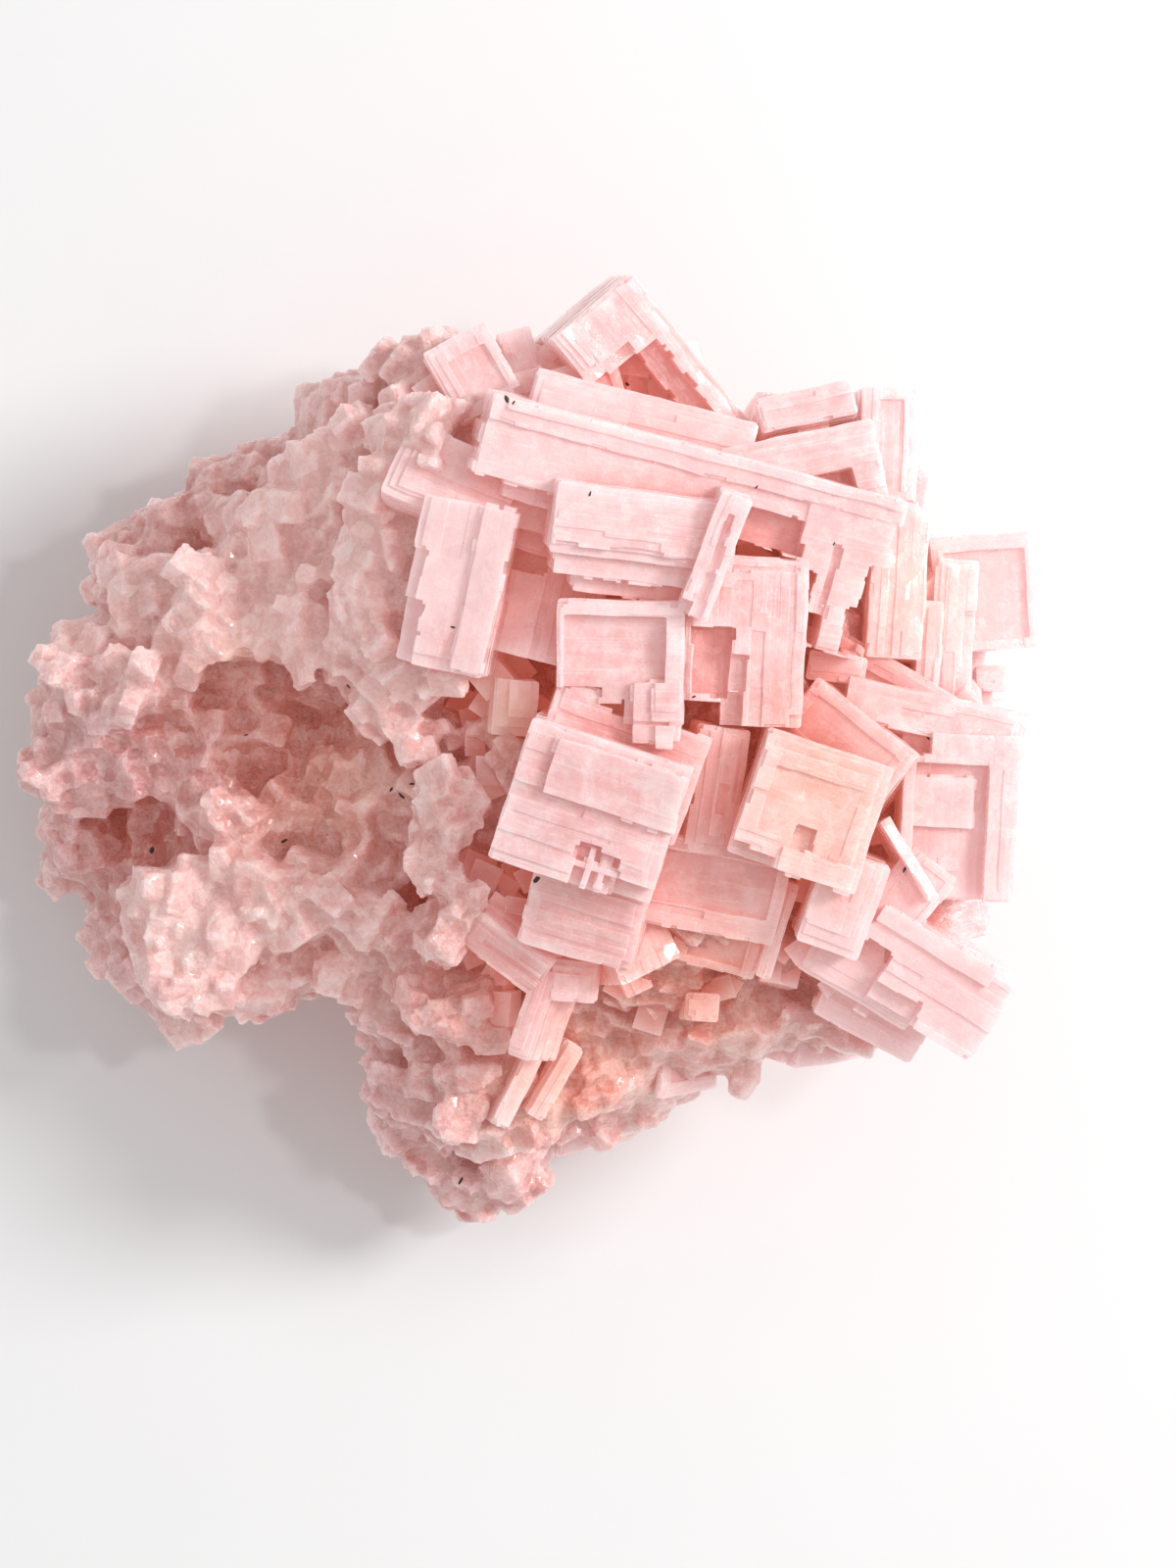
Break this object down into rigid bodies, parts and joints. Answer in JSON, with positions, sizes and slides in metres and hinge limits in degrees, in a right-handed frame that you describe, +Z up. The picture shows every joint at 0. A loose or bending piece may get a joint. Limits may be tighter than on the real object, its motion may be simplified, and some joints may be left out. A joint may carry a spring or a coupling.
{
  "type": "halite crystal specimen",
  "caption": "Pink halite: hopper cubes and nested crystal plates grown on a lumpy salt crust, one piece, resting on its flat broken base.",
  "frame": {"origin": "on the ground plane, under the middle of the specimen's bounding box", "axes": "+Z up, out of the face that shows the crystals; +Y towards the crystal that stands corner up; +X towards the cubes' side, away from the granular crust"},
  "size_m": [0.1059, 0.0994, 0.0588],
  "materials": {
    "pink_halite": "milky pink, translucent salt with smooth crystal faces, frosted edges and a granular crust"
  },
  "bodies": {
    "root": {"halite_cluster": "pink_halite"}
  },
  "joints": []
}
